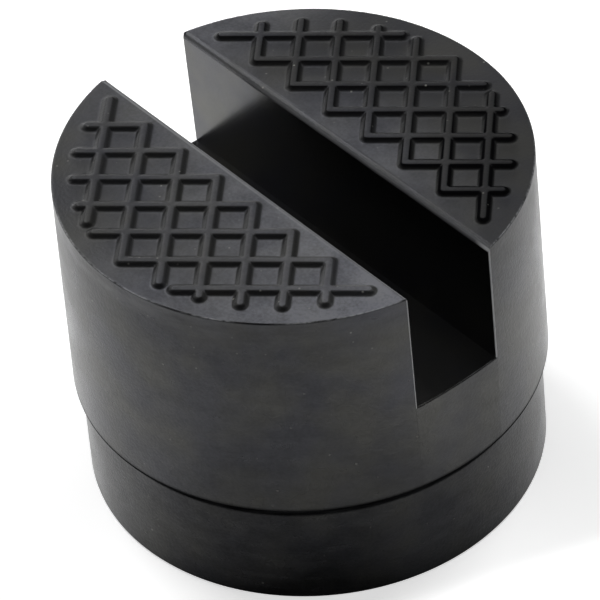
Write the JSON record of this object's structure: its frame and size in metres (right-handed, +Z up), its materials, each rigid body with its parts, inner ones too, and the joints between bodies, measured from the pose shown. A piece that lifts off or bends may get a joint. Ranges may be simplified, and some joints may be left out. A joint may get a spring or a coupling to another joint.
{
  "type": "rubber jack pad",
  "caption": "Round moulded rubber jack pad: a stepped block with a narrower foot, a slot across the top and a raised criss-cross tread on both halves.",
  "frame": {"origin": "middle of the flat underside of the foot", "axes": "+Z points up through the tread, +X runs along the slot, -Y is the front half of the pad"},
  "size_m": [0.0666, 0.0666, 0.0515],
  "materials": {
    "rubber": "satin black moulded rubber, a little duller on the tread"
  },
  "bodies": {
    "root": {"pad": "rubber"}
  },
  "joints": []
}
